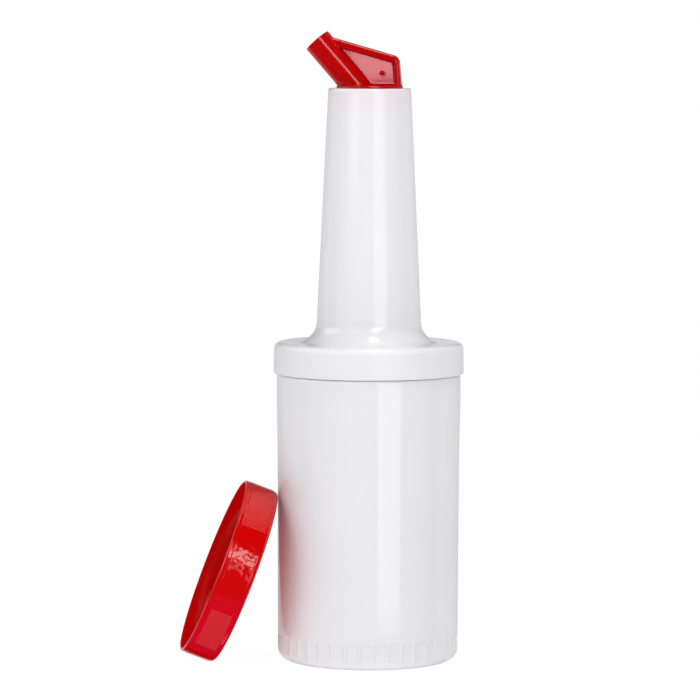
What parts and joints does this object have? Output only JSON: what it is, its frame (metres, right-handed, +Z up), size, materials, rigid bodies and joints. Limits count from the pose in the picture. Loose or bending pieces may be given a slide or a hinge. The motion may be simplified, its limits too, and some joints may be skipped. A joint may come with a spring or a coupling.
{
  "type": "syrup dispenser",
  "caption": "Bar pouring bottle for syrup: white quart container, screw-on neck with a push-in tilted red spout, and its screw lid leaning beside it.",
  "frame": {"origin": "centre of the container's base, on the surface that it stands on", "axes": "+Z up along the container's and neck's axis; +X away from the leaning lid and roughly away from the spout's tip; -Y the side that faces the viewer"},
  "size_m": [0.142, 0.0998, 0.3149],
  "materials": {
    "container_plastic": "glossy moulded white polyethylene",
    "neck_plastic": "glossy moulded white polyethylene",
    "spout_plastic": "glossy moulded red polyethylene",
    "lid_plastic": "glossy moulded red polyethylene",
    "seal_rubber": "soft pale rubber"
  },
  "bodies": {
    "container": {"container": "container_plastic"},
    "neck_seal": {"neck_seal": "seal_rubber"},
    "neck": {"neck": "neck_plastic"},
    "spout_seal": {"spout_seal": "seal_rubber"},
    "spout": {"spout": "spout_plastic"},
    "lid": {"lid": "lid_plastic", "lid_seal": "seal_rubber"}
  },
  "joints": [
    {"name": "neck_lift", "type": "slide", "parent": "container", "child": "neck_seal", "axis": [0, 0, 1], "range_m": [0, 0.0121]},
    {"name": "neck_turn", "type": "hinge", "parent": "neck_seal", "child": "neck", "pos_m": [0, 0, 0.15], "axis": [0, 0, 1], "range_deg": [0, 720]},
    {"name": "spout_pull", "type": "slide", "parent": "neck", "child": "spout_seal", "axis": [0, 0, 1], "range_m": [0, 0.012]},
    {"name": "spout_turn", "type": "hinge", "parent": "spout_seal", "child": "spout", "pos_m": [0, 0, 0.282], "axis": [0, 0, 1], "continuous": true},
    {"name": "lid_lift", "type": "slide", "parent": "container", "child": "lid", "axis": [-0.7044, -0.0613, 0.7071], "range_m": [0, 0.1]}
  ],
  "couplings": [
    {"joint": "neck_lift", "follows": "neck_turn", "m_per_rad": 0.00095493}
  ]
}
